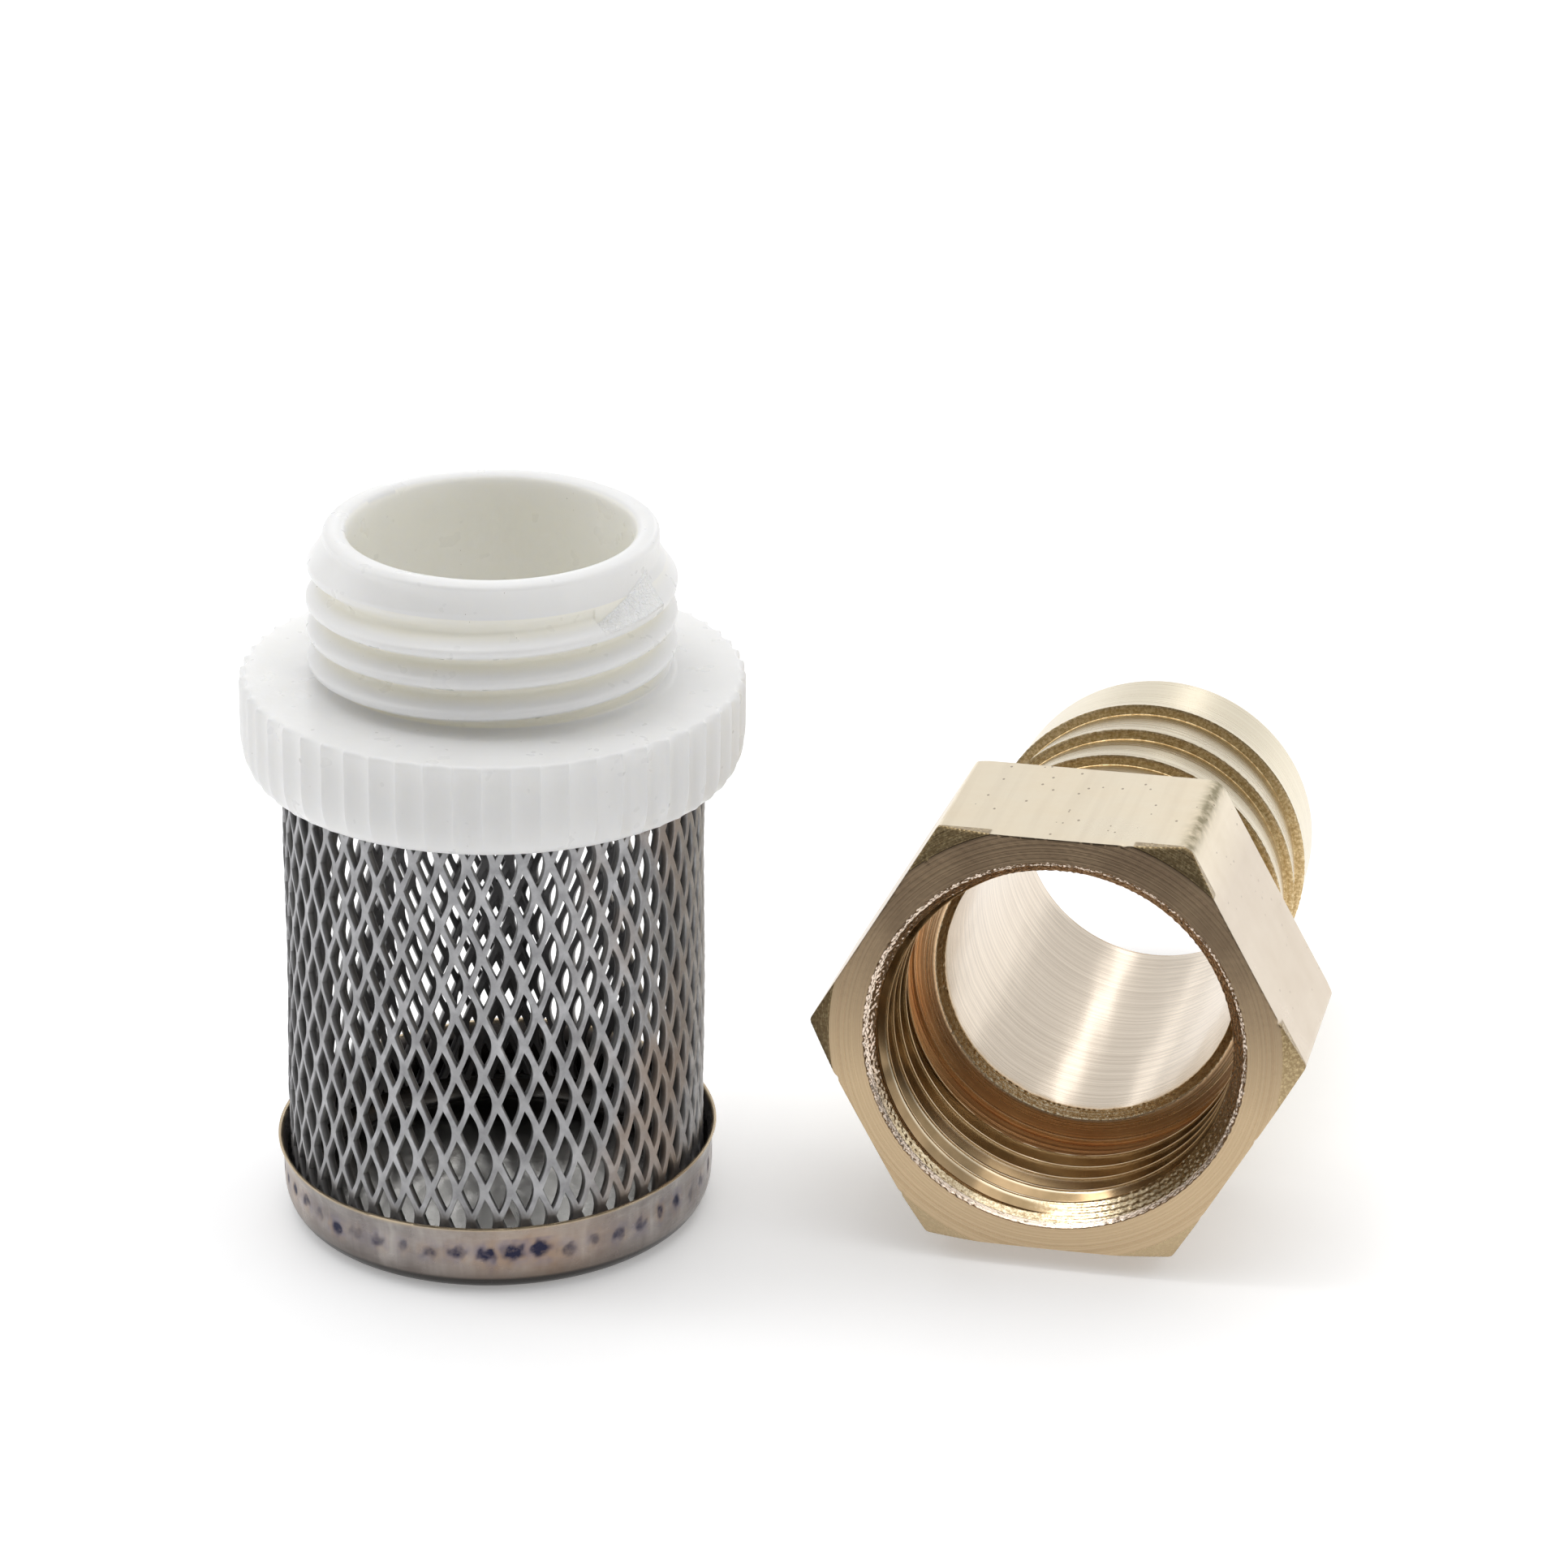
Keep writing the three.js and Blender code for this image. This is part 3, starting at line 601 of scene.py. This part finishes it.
class Look:
    """A node material, with short calls for the nodes that it needs."""

    def __init__(self, name):
        self.material = bpy.data.materials.new(name)
        self.material.use_nodes = True
        self.tree = self.material.node_tree
        self.shader = self.tree.nodes["Principled BSDF"]
        self.place = self.tree.nodes.new("ShaderNodeTexCoord").outputs["Object"]

    def set(self, **values):
        for key, value in values.items():
            self.shader.inputs[key.replace("_", " ")].default_value = value

    def link(self, value, socket):
        """Feeds a socket from another one, or sets it to a plain value."""
        if hasattr(value, "is_linked"):
            self.tree.links.new(value, socket)
        else:
            socket.default_value = value

    def attribute(self, name):
        node = self.tree.nodes.new("ShaderNodeAttribute")
        node.attribute_name = name
        return node.outputs["Fac"]

    def texture(self, kind, scale, stretch):
        """A procedural texture over the piece's own coordinates, stretched along each axis."""
        mapping = self.tree.nodes.new("ShaderNodeMapping")
        mapping.inputs["Scale"].default_value = stretch
        self.link(self.place, mapping.inputs["Vector"])
        node = self.tree.nodes.new(kind)
        node.inputs["Scale"].default_value = scale
        self.link(mapping.outputs["Vector"], node.inputs["Vector"])
        return node

    def noise(self, scale, detail=3.0, roughness=0.55, stretch=(1, 1, 1)):
        node = self.texture("ShaderNodeTexNoise", scale, stretch)
        node.inputs["Detail"].default_value = detail
        node.inputs["Roughness"].default_value = roughness
        return node.outputs["Fac"]

    def specks(self, scale, size, share, patch_scale, patch, stretch=(1, 1, 1)):
        """Small round specks in a share of the cells, gathered where a slow noise is high."""
        cells = self.texture("ShaderNodeTexVoronoi", scale, stretch)
        split = self.tree.nodes.new("ShaderNodeSeparateColor")
        self.link(cells.outputs["Color"], split.inputs["Color"])
        chosen = self.math("GREATER_THAN", split.outputs[0], share)
        near = self.math("LESS_THAN", cells.outputs["Distance"], size)
        gathered = self.span(self.noise(patch_scale, 2), patch - 0.03, patch + 0.03)
        return self.times(self.times(chosen, near), gathered)

    def rings(self, radius, along, per_radius, per_length):
        """Fine lines round the axis, as a cutting tool leaves them."""
        node = self.tree.nodes.new("ShaderNodeTexNoise")
        node.noise_dimensions = "2D"
        node.inputs["Scale"].default_value = 1.0
        node.inputs["Detail"].default_value = 3.0
        pair = self.tree.nodes.new("ShaderNodeCombineXYZ")
        self.link(self.times(radius, per_radius), pair.inputs[0])
        self.link(self.times(along, per_length), pair.inputs[1])
        self.link(pair.outputs[0], node.inputs["Vector"])
        return node.outputs["Fac"]

    def coordinates(self):
        """X, Y and Z in the piece's own frame."""
        split = self.tree.nodes.new("ShaderNodeSeparateXYZ")
        self.link(self.place, split.inputs["Vector"])
        return split.outputs[:3]

    def radial(self):
        """Distance from the piece's own Z axis, and height along it."""
        x, y, z = self.coordinates()
        return self.math("SQRT", self.plus(self.times(x, x), self.times(y, y))), z

    def math(self, operation, a, b=0.0, clamp=False):
        """One Math node on two numbers or sockets."""
        node = self.tree.nodes.new("ShaderNodeMath")
        node.operation = operation
        node.use_clamp = clamp
        self.link(a, node.inputs[0])
        self.link(b, node.inputs[1])
        return node.outputs[0]

    def times(self, a, b):
        return self.math("MULTIPLY", a, b)

    def plus(self, a, b):
        return self.math("ADD", a, b)

    def span(self, value, low, high, to_low=0.0, to_high=1.0):
        """value mapped from low..high on to to_low..to_high, and held at the ends."""
        node = self.tree.nodes.new("ShaderNodeMapRange")
        self.link(value, node.inputs["Value"])
        for key, number in (("From Min", low), ("From Max", high), ("To Min", to_low), ("To Max", to_high)):
            node.inputs[key].default_value = number
        return node.outputs["Result"]

    def mix(self, share, a, b):
        """Colour a where share is 0 and b where it is 1."""
        node = self.tree.nodes.new("ShaderNodeMix")
        node.data_type = "RGBA"
        self.link(share, node.inputs["Factor"])
        self.link(self.colour(a), node.inputs["A"])
        self.link(self.colour(b), node.inputs["B"])
        return node.outputs["Result"]

    @staticmethod
    def colour(value):
        """A plain colour with its alpha added; a socket as it is."""
        return (*value, 1.0) if isinstance(value, tuple) and len(value) == 3 else value

    def blend(self, share, a, b):
        """Number a where share is 0 and b where it is 1."""
        node = self.tree.nodes.new("ShaderNodeMix")
        node.data_type = "FLOAT"
        self.link(share, node.inputs["Factor"])
        self.link(a, node.inputs["A"])
        self.link(b, node.inputs["B"])
        return node.outputs["Result"]

    def bump(self, height, strength, distance):
        node = self.tree.nodes.new("ShaderNodeBump")
        node.inputs["Strength"].default_value = strength
        node.inputs["Distance"].default_value = distance
        self.link(height, node.inputs["Height"])
        self.link(node.outputs["Normal"], self.shader.inputs["Normal"])

    def finish(self, base, roughness):
        self.link(self.colour(base), self.shader.inputs["Base Color"])
        self.link(roughness, self.shader.inputs["Roughness"])
        return self.material


def nylon_look():
    """Milky nylon, with its thin grooves and its bore painted paler and yellower as light coming through the
    wall, a few specks of dirt and a torn facet that glitters.
    """
    look = Look("milky_nylon")
    look.set(IOR=1.53, Subsurface_Weight=0.55, Subsurface_Scale=0.0026, Specular_IOR_Level=0.5)
    look.set(Subsurface_Radius=(1.0, 0.95, 0.84))
    thin, bore, facet = (look.attribute(key) for key in ("thin", "bore", "facet"))
    body = look.mix(look.span(look.noise(180, 3), 0.35, 0.65), (0.80, 0.80, 0.795), (0.83, 0.83, 0.825))
    # painted light: the thin grooves painted paler and yellower, as light coming through the wall
    body = look.mix(look.times(thin, 0.8), body, (0.93, 0.905, 0.81))
    # stain: the bore's paler, creamier colour, painted light coming through the wall
    stain = look.mix(look.span(look.noise(130, 2), 0.3, 0.7), (0.96, 0.945, 0.88), (0.95, 0.93, 0.85))
    body = look.mix(bore, body, stain)
    body = look.mix(look.specks(4800, 0.11, 0.955, 420, 0.56), body, (0.30, 0.26, 0.22))
    body = look.mix(facet, body, (0.93, 0.93, 0.925))
    sparkle = look.times(look.noise(5200, 1), look.times(facet, 9.0))
    look.bump(look.plus(look.times(look.noise(2600, 2), 0.35), sparkle), 0.55, 0.00006)
    rough = look.blend(look.span(look.noise(700, 2), 0.3, 0.7), 0.26, 0.38)
    return look.finish(body, look.blend(facet, rough, 0.22))


def sleeve_look():
    """Dull stainless sheet, with its cut walls painted darker and its inner face painted nearly black as
    shade, and a brown stain in front.
    """
    look = Look("expanded_steel")
    look.set(Metallic=0.72)
    wall, inner = look.attribute("wall"), look.attribute("inner")
    mottled = look.noise(900, 4, 0.6)
    streak = look.noise(1500, 2, stretch=(1, 1, 0.12))
    base = look.mix(look.span(mottled, 0.3, 0.7), (0.30, 0.30, 0.31), (0.50, 0.50, 0.51))
    base = look.mix(look.span(look.noise(210, 3), 0.4, 0.7, 0.0, 0.4), base, (0.24, 0.235, 0.235))
    # painted shade: the cut walls of the holes painted darker, with streaks along them
    edge = look.mix(look.span(streak, 0.35, 0.65), (0.19, 0.188, 0.19), (0.37, 0.365, 0.36))
    base = look.mix(wall, base, edge)
    x, y, _ = look.coordinates()
    turn = look.math("ARCTAN2", y, x)
    band = look.times(look.span(turn, -0.95, -0.62), look.span(turn, -0.28, -0.05, 1.0, 0.0))
    tint = look.times(band, look.span(look.noise(160, 3), 0.42, 0.62))
    base = look.mix(look.times(tint, 0.5), base, (0.38, 0.26, 0.17))
    # painted shade: the sleeve's inner face painted nearly black, as the shade inside the tube
    base = look.mix(look.times(inner, 0.72), base, (0.05, 0.048, 0.05))
    look.bump(look.plus(mottled, look.times(look.noise(4200, 2), 0.35)), 0.6, 0.00005)
    return look.finish(base, look.blend(wall, look.span(mottled, 0.3, 0.7, 0.50, 0.34), 0.42))


def cup_look():
    """Drawn stainless sheet with heat tints round its spot welds and a bright floor inside, painted
    reflections as vertical streaks on its outside, a painted golden highlight on its lip and painted shade on
    its inner wall.
    """
    look = Look("pressed_steel")
    look.set(Metallic=1.0, Anisotropic=0.35)
    keys = ("weld", "halo", "tint", "rim", "inside", "inner_wall_shade")
    weld, halo, tint, rim, inside, inner_wall_shade = (look.attribute(key) for key in keys)
    cloud = look.noise(260, 4, 0.6, stretch=(1, 1, 2.2))
    column = look.noise(700, 3, 0.6, stretch=(1, 1, 0.10))
    base = look.mix(look.span(cloud, 0.3, 0.7), (0.22, 0.20, 0.19), (0.40, 0.37, 0.35))
    # painted reflections: darker and lighter vertical streaks, from the same noise that gives the drawn lines
    # in the bump
    base = look.mix(look.span(column, 0.46, 0.70, 0.0, 0.55), base, (0.17, 0.145, 0.14))
    base = look.mix(look.span(column, 0.46, 0.26, 0.0, 0.45), base, (0.60, 0.555, 0.52))
    warm = look.mix(look.span(look.noise(420, 3), 0.35, 0.65), (0.42, 0.27, 0.17), (0.52, 0.42, 0.34))
    base = look.mix(look.times(tint, 0.65), base, warm)
    ring = look.mix(look.span(look.noise(900, 2), 0.4, 0.6), (0.17, 0.15, 0.20), (0.30, 0.21, 0.15))
    base = look.mix(look.times(halo, 0.6), base, ring)
    ragged = look.math("MULTIPLY", weld, look.span(look.noise(2600, 3), 0.25, 0.6, 0.5, 1.15), clamp=True)
    base = look.mix(ragged, base, (0.035, 0.035, 0.065))
    # painted highlight: a golden band along the lip's top edge
    base = look.mix(look.times(rim, 0.7), base, (0.62, 0.49, 0.31))
    _, along = look.radial()
    base = look.mix(look.span(along, 0.0022, 0.0006, 0.0, 0.85), base, (0.12, 0.095, 0.08))
    # painted shade: the cup's inner wall painted nearly black
    base = look.mix(inner_wall_shade, base, (0.06, 0.054, 0.05))
    plate = look.mix(look.span(cloud, 0.3, 0.7), (0.55, 0.54, 0.52), (0.78, 0.77, 0.74))
    base = look.mix(inside, base, plate)
    drawn = look.noise(500, 3, 0.6, stretch=(1, 1, 14))
    height = look.plus(look.times(drawn, 0.6), look.noise(350, 3))
    look.bump(look.plus(height, look.times(column, 0.5)), 0.3, 0.00008)
    rough = look.blend(ragged, look.span(cloud, 0.3, 0.7, 0.34, 0.22), 0.5)
    return look.finish(base, look.blend(inside, rough, 0.2))


def brass_tones(look, on, turned, coarse, cloud, glitter, drawn, pit):
    """The brass's colours, one for each kind of surface, several with painted shade and highlights. Its back
    and its tip keep the face's.
    """
    pale = look.mix(look.span(cloud, 0.3, 0.7), (0.80, 0.69, 0.51), (0.87, 0.77, 0.59))
    pale = look.mix(look.span(drawn, 0.44, 0.75, 0.0, 0.35), pale, (0.62, 0.51, 0.36))
    pale = look.mix(look.times(pit, 0.8), pale, (0.24, 0.17, 0.10))
    # painted light: the top flat kept pale and every other flat painted darker
    pale = look.mix(look.span(on["above"], 0.93, 0.85, 0.0, 0.75), pale, (0.60, 0.50, 0.395))

    face = look.mix(look.span(turned, 0.3, 0.7), (0.50, 0.365, 0.22), (0.63, 0.48, 0.305))
    scratch = look.times(look.span(coarse, 0.50, 0.66), look.span(on["above"], 0.3, 0.8, 0.05, 0.55))
    face = look.mix(scratch, face, (0.34, 0.25, 0.16))
    uneven = look.span(cloud, 0.3, 0.6, 0.80, 1.0)
    shade = look.times(look.span(on["above"], 0.36, 0.80, 0.0, 0.92), uneven)
    face = look.mix(shade, face, (0.155, 0.108, 0.070))

    burr = look.mix(look.span(turned, 0.38, 0.62), (0.66, 0.50, 0.38), (0.93, 0.79, 0.66))
    torn = look.span(look.noise(3100, 2, 0.7, stretch=(1, 1, 3)), 0.58, 0.68)
    burr = look.mix(torn, burr, (0.26, 0.18, 0.11))
    olive = look.mix(look.span(glitter, 0.45, 0.72), (0.30, 0.215, 0.11), (0.62, 0.49, 0.28))
    # painted light: the lower chamfers painted lighter than the upper ones
    olive = look.mix(look.span(on["above"], 0.25, 0.55, 0.75, 0.0), olive, (0.58, 0.45, 0.28))
    lead = look.mix(look.span(glitter, 0.35, 0.65), (0.40, 0.29, 0.16), (0.86, 0.74, 0.52))
    return {
        "face": face,
        "flats": pale,
        "chamfer": olive,
        "stem": look.mix(look.span(turned, 0.35, 0.65), (0.70, 0.60, 0.42), (0.84, 0.76, 0.58)),
        "barb": look.mix(look.span(glitter, 0.4, 0.65), (0.60, 0.42, 0.20), (0.95, 0.76, 0.46)),
        "bore": look.mix(look.span(turned, 0.35, 0.65), (0.62, 0.525, 0.415), (0.77, 0.665, 0.535)),
        "entry": look.mix(look.span(glitter, 0.4, 0.62), (0.66, 0.52, 0.32), (0.95, 0.88, 0.70)),
        "relief": look.mix(look.span(cloud, 0.35, 0.65), (0.78, 0.49, 0.27), (0.90, 0.63, 0.38)),
        # painted shade on the thread's flanks, and a painted highlight on its crests
        "thread": look.mix(look.span(cloud, 0.35, 0.65), (0.24, 0.17, 0.09), (0.42, 0.295, 0.165)),
        "crest": look.mix(look.span(turned, 0.35, 0.65), (0.84, 0.70, 0.50), (0.98, 0.88, 0.68)),
        "lead": look.mix(look.span(on["above"], 0.22, 0.42), lead, burr),
        "burr": burr,
    }


def brass_look():
    """Turned brass: each surface has its own colour, some with painted shade and highlights, over fine rings
    from the tool.
    """
    look = Look("turned_brass")
    look.set(Metallic=1.0, Anisotropic=0.55)
    layers = ("flats", "chamfer", "stem", "barb", "bore", "entry",
              "relief", "thread", "crest", "lead", "burr")
    on = {key: look.attribute(key) for key in (*layers, "worn", "above")}
    tangent = look.tree.nodes.new("ShaderNodeTangent")
    tangent.direction_type = "RADIAL"
    tangent.axis = "Z"
    look.link(tangent.outputs["Tangent"], look.shader.inputs["Tangent"])
    radius, along = look.radial()
    radius = look.plus(radius, look.times(look.noise(140, 2), 0.00004))
    turned = look.rings(radius, along, 12000.0, 5200.0)
    coarse = look.rings(radius, along, 8200.0, 2600.0)
    cloud = look.noise(230, 4, 0.6)
    glitter = look.noise(5200, 2, 0.7)
    drawn = look.noise(900, 3, 0.6, stretch=(1, 1, 0.04))
    pit = look.specks(2600, 0.20, 0.86, 500, 0.42, stretch=(1, 1, 0.5))

    tones = brass_tones(look, on, turned, coarse, cloud, glitter, drawn, pit)
    base = tones["face"]
    for key in layers:
        base = look.mix(on[key], base, tones[key])
    rubbed = look.times(on["worn"], look.span(look.noise(1500, 3), 0.3, 0.6))
    base = look.mix(rubbed, base, (0.34, 0.29, 0.17))

    quiet = look.plus(look.plus(on["flats"], on["thread"]), look.times(on["bore"], 0.6))
    height = look.times(turned, look.math("SUBTRACT", 1.0, quiet))
    height = look.plus(height, look.times(on["flats"], look.times(drawn, 0.35)))
    height = look.math("SUBTRACT", height, look.times(look.times(on["flats"], pit), 0.6))
    sparkling = look.plus(
        look.plus(look.times(on["burr"], 0.35), on["chamfer"]),
        look.plus(on["entry"], look.times(on["lead"], 0.15)),
    )
    height = look.plus(height, look.times(glitter, look.times(sparkling, 0.9)))
    height = look.plus(height, look.times(look.noise(2400, 3), look.times(on["worn"], 2.5)))
    look.bump(height, 0.5, 0.00003)

    machined, bar = look.span(turned, 0.3, 0.7, 0.24, 0.36), look.span(cloud, 0.3, 0.7, 0.36, 0.26)
    rough = look.blend(on["flats"], machined, bar)
    own = {"bore": 0.23, "thread": 0.13, "lead": 0.17, "entry": 0.22, "burr": 0.22, "worn": 0.55}
    for key, value in own.items():
        rough = look.blend(on[key], rough, value)
    return look.finish(base, rough)


# ------------------------------------------------------------------ build the object


def dress(piece, look, body, node):
    """Gives a piece its look, and ties it to its body and to the CAD node whose place it takes."""
    piece.data.materials.append(look)
    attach(piece, body)
    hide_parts(node)


dress(cup(), cup_look(), "strainer", "strainer_cup")
dress(sleeve(), sleeve_look(), "strainer", "strainer_mesh")
dress(collar(), nylon_look(), "strainer", "strainer_collar")

# The mount's point is on the mouth's face, beside the tail's axis. The tail's own -Y is up.
tail = hose_tail()
mouth = mounts["tail_mouth"]
forward = -Vector(mouth["axis"]).normalized()
across = Vector((1, 0, 0))
centre = Vector(mouth["pos_m"]) - MOUNT_ASIDE * MM * across
upright = forward.cross(across)
tail.matrix_world = Matrix.Translation(centre) @ Matrix((across, upright, forward)).transposed().to_4x4()
dress(tail, brass_look(), "hose_tail", "hose_tail")

# ------------------------------------------------------------------ floor, light and camera, in metres

FLOOR_HALF = 3.0
FLOOR_DROP = 0.02 * MM  # below the object, so that the two don't share a surface
LIGHTS_AIM = (0.016, 0.008, 0.018)
LIGHTS = (  # name, place, width, height, watts
    ("top_box", (0.02, 0.12, 0.60), 0.60, 0.50, 0.95),
    ("left_box", (-0.50, -0.02, 0.28), 0.35, 0.45, 0.42),
    ("right_box", (0.55, 0.02, 0.28), 0.35, 0.45, 0.12),
    ("back_strip", (0.042, 0.80, 0.337), 0.07, 0.45, 0.16),
    ("low_strip", (-0.247, 0.761, 0.259), 0.056, 0.41, 0.07),
    ("high_strip", (-0.207, -0.02, 0.60), 0.06, 0.26, 0.28),
)
STUDIO_STRENGTH = 0.82
CAMERA_PLACE = (0.076893, -0.267663, 0.149099)
CAMERA_ELEVATION = np.radians(23.84)
CAMERA_AZIMUTH = np.radians(12.55)
CAMERA_ROLL = np.radians(-0.169)
CAMERA_LENS = 122.06  # mm, on a sensor 36 mm wide
CAMERA_SENSOR = 36.0


def floor():
    corners = [(x * FLOOR_HALF, y * FLOOR_HALF, -FLOOR_DROP) for x, y in ((-1, -1), (1, -1), (1, 1), (-1, 1))]
    plane = mesh_piece("floor", np.array(corners) / MM, [(0, 1, 2, 3)])
    look = Look("pale_floor")
    tone = look.mix(look.noise(30, 3), (0.90, 0.90, 0.905), (0.93, 0.93, 0.935))
    look.set(Emission_Color=(1, 1, 1, 1), Emission_Strength=0.26)
    plane.data.materials.append(look.finish(tone, 0.7))


def softbox(name, place, width, height, power):
    """A white rectangular lamp that faces the object."""
    data = bpy.data.lights.new(name, "AREA")
    data.shape = "RECTANGLE"
    data.size, data.size_y = width, height
    data.energy = power
    lamp = bpy.data.objects.new(name, data)
    bpy.context.scene.collection.objects.link(lamp)
    lamp.location = place
    lamp.rotation_euler = (Vector(LIGHTS_AIM) - Vector(place)).to_track_quat("-Z", "Y").to_euler()


def studio():
    """A white studio, dark only low down on the camera's side."""
    world = bpy.data.worlds.new("studio")
    bpy.context.scene.world = world
    world.use_nodes = True
    tree = world.node_tree
    back = tree.nodes["Background"]
    coords = tree.nodes.new("ShaderNodeTexCoord")
    lean = tree.nodes.new("ShaderNodeVectorMath")
    lean.operation = "DOT_PRODUCT"
    lean.inputs[1].default_value = (0.0, 0.8, 0.6)
    half = tree.nodes.new("ShaderNodeMath")
    half.operation = "MULTIPLY_ADD"
    half.inputs[1].default_value = half.inputs[2].default_value = 0.5
    ramp = tree.nodes.new("ShaderNodeValToRGB")
    low, high = ramp.color_ramp.elements
    low.position, low.color = 0.375, (0.15, 0.146, 0.14, 1)
    high.position, high.color = 0.575, (1.0, 1.0, 1.0, 1)
    back.inputs["Strength"].default_value = STUDIO_STRENGTH
    tree.links.new(coords.outputs["Generated"], lean.inputs[0])
    tree.links.new(lean.outputs["Value"], half.inputs[0])
    tree.links.new(half.outputs[0], ramp.inputs["Fac"])
    tree.links.new(ramp.outputs["Color"], back.inputs["Color"])


def photo_camera():
    """The camera at the photograph's angle, from a fit to the object's outlines."""
    flat, steep = np.cos(CAMERA_ELEVATION), np.sin(CAMERA_ELEVATION)
    view = Vector((-np.sin(CAMERA_AZIMUTH) * flat, np.cos(CAMERA_AZIMUTH) * flat, -steep))
    side = Vector((np.cos(CAMERA_AZIMUTH), np.sin(CAMERA_AZIMUTH), 0))
    over = side.cross(view)
    cosine, sine = np.cos(CAMERA_ROLL), np.sin(CAMERA_ROLL)
    side, over = side * cosine + over * sine, over * cosine - side * sine
    lens = bpy.data.cameras.new("camera")
    lens.sensor_width = CAMERA_SENSOR
    lens.lens = CAMERA_LENS
    lens.clip_start, lens.clip_end = 0.01, 20.0
    camera = bpy.data.objects.new("camera", lens)
    bpy.context.scene.collection.objects.link(camera)
    axes = Matrix((side, over, -view)).transposed().to_4x4()
    camera.matrix_world = Matrix.Translation(Vector(CAMERA_PLACE)) @ axes
    bpy.context.scene.camera = camera


floor()
studio()
for light in LIGHTS:
    softbox(*light)
photo_camera()
bpy.context.scene.view_settings.view_transform = "Standard"
